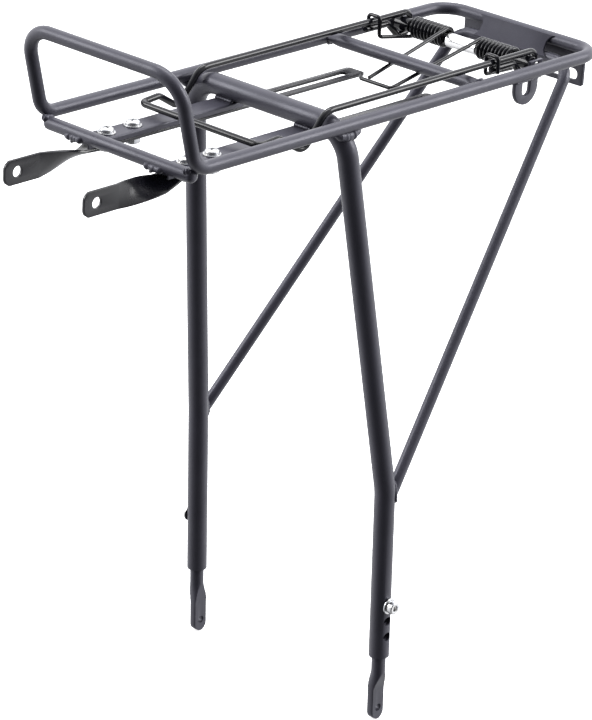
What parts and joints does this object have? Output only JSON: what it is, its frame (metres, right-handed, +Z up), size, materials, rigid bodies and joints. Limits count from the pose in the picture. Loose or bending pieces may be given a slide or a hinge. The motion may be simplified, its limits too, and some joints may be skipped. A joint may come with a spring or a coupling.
{
  "type": "bicycle rear rack",
  "caption": "Bicycle rear carrier: tube platform with upright front hoop, kinked legs, rear braces, sprung bail clamp, sliding stays and adjustable feet.",
  "frame": {"origin": "middle of the line through the foot eyelets, where the rack bolts beside the rear axle", "axes": "+X forward on the bicycle, +Y to the bicycle's left, +Z up"},
  "size_m": [0.4568, 0.1986, 0.4981],
  "materials": {
    "side_loop_tube": "satin charcoal powder coat",
    "front_cross_tube": "satin charcoal powder coat",
    "second_cross_tube": "satin charcoal powder coat",
    "leg_hoop_tube": "satin charcoal powder coat",
    "brace_hoop_tube": "satin charcoal powder coat",
    "tail_plate": "satin charcoal powder coat",
    "reflector_bracket": "satin charcoal powder coat",
    "clamp_axle": "bright zinc plate",
    "axle_sleeve": "bright plated steel",
    "pannier_lug": "satin charcoal powder coat",
    "stay_channel_left": "satin charcoal powder coat",
    "axle_bush_left": "gloss black enamel",
    "axle_lug_left": "satin charcoal powder coat",
    "spring_left": "gloss black enamel",
    "foot_bolt_left": "bright zinc plate",
    "foot_washer_left": "bright zinc plate",
    "stay_bolt_left_front": "bright zinc plate",
    "stay_washer_left_front": "bright zinc plate",
    "stay_nut_left_front": "bright zinc plate",
    "stay_bolt_left_rear": "bright zinc plate",
    "stay_washer_left_rear": "bright zinc plate",
    "stay_nut_left_rear": "bright zinc plate",
    "stay_channel_right": "satin charcoal powder coat",
    "axle_bush_right": "gloss black enamel",
    "axle_lug_right": "satin charcoal powder coat",
    "spring_right": "gloss black enamel",
    "foot_bolt_right": "bright zinc plate",
    "foot_washer_right": "bright zinc plate",
    "stay_bolt_right_front": "bright zinc plate",
    "stay_washer_right_front": "bright zinc plate",
    "stay_nut_right_front": "bright zinc plate",
    "stay_bolt_right_rear": "bright zinc plate",
    "stay_washer_right_rear": "bright zinc plate",
    "stay_nut_right_rear": "bright zinc plate",
    "clamp_bail": "gloss black enamel",
    "stay_strip_left": "gloss black enamel",
    "foot_rod_left": "satin charcoal powder coat",
    "stay_strip_right": "gloss black enamel",
    "foot_rod_right": "satin charcoal powder coat"
  },
  "bodies": {
    "frame": {"side_loop_tube": "side_loop_tube", "front_cross_tube": "front_cross_tube", "second_cross_tube": "second_cross_tube", "leg_hoop_tube": "leg_hoop_tube", "brace_hoop_tube": "brace_hoop_tube", "tail_plate": "tail_plate", "reflector_bracket": "reflector_bracket", "clamp_axle": "clamp_axle", "axle_sleeve": "axle_sleeve", "pannier_lug": "pannier_lug", "stay_channel_left": "stay_channel_left", "axle_bush_left": "axle_bush_left", "axle_lug_left": "axle_lug_left", "spring_left": "spring_left", "foot_bolt_left": "foot_bolt_left", "foot_washer_left": "foot_washer_left", "stay_bolt_left_front": "stay_bolt_left_front", "stay_washer_left_front": "stay_washer_left_front", "stay_nut_left_front": "stay_nut_left_front", "stay_bolt_left_rear": "stay_bolt_left_rear", "stay_washer_left_rear": "stay_washer_left_rear", "stay_nut_left_rear": "stay_nut_left_rear", "stay_channel_right": "stay_channel_right", "axle_bush_right": "axle_bush_right", "axle_lug_right": "axle_lug_right", "spring_right": "spring_right", "foot_bolt_right": "foot_bolt_right", "foot_washer_right": "foot_washer_right", "stay_bolt_right_front": "stay_bolt_right_front", "stay_washer_right_front": "stay_washer_right_front", "stay_nut_right_front": "stay_nut_right_front", "stay_bolt_right_rear": "stay_bolt_right_rear", "stay_washer_right_rear": "stay_washer_right_rear", "stay_nut_right_rear": "stay_nut_right_rear"},
    "clamp": {"clamp_bail": "clamp_bail"},
    "stay_left": {"stay_strip_left": "stay_strip_left"},
    "foot_left": {"foot_rod_left": "foot_rod_left"},
    "stay_right": {"stay_strip_right": "stay_strip_right"},
    "foot_right": {"foot_rod_right": "foot_rod_right"}
  },
  "joints": [
    {"name": "clamp_hinge", "type": "hinge", "parent": "frame", "child": "clamp", "pos_m": [-0.145, 0, 0.4263], "axis": [0, -1, 0], "range_deg": [0, 100], "stiffness_Nm_per_rad": 0.35, "springref_deg": -114.59, "deforming": ["spring_left", "spring_right"]},
    {"name": "stay_slide_left", "type": "slide", "parent": "frame", "child": "stay_left", "axis": [1, 0, 0], "range_m": [0, 0.19]},
    {"name": "foot_slide_left", "type": "slide", "parent": "frame", "child": "foot_left", "axis": [-0.0499, 0, -0.9988], "range_m": [0, 0.024]},
    {"name": "stay_slide_right", "type": "slide", "parent": "frame", "child": "stay_right", "axis": [1, 0, 0], "range_m": [0, 0.19]},
    {"name": "foot_slide_right", "type": "slide", "parent": "frame", "child": "foot_right", "axis": [-0.0499, 0, -0.9988], "range_m": [0, 0.024]}
  ]
}
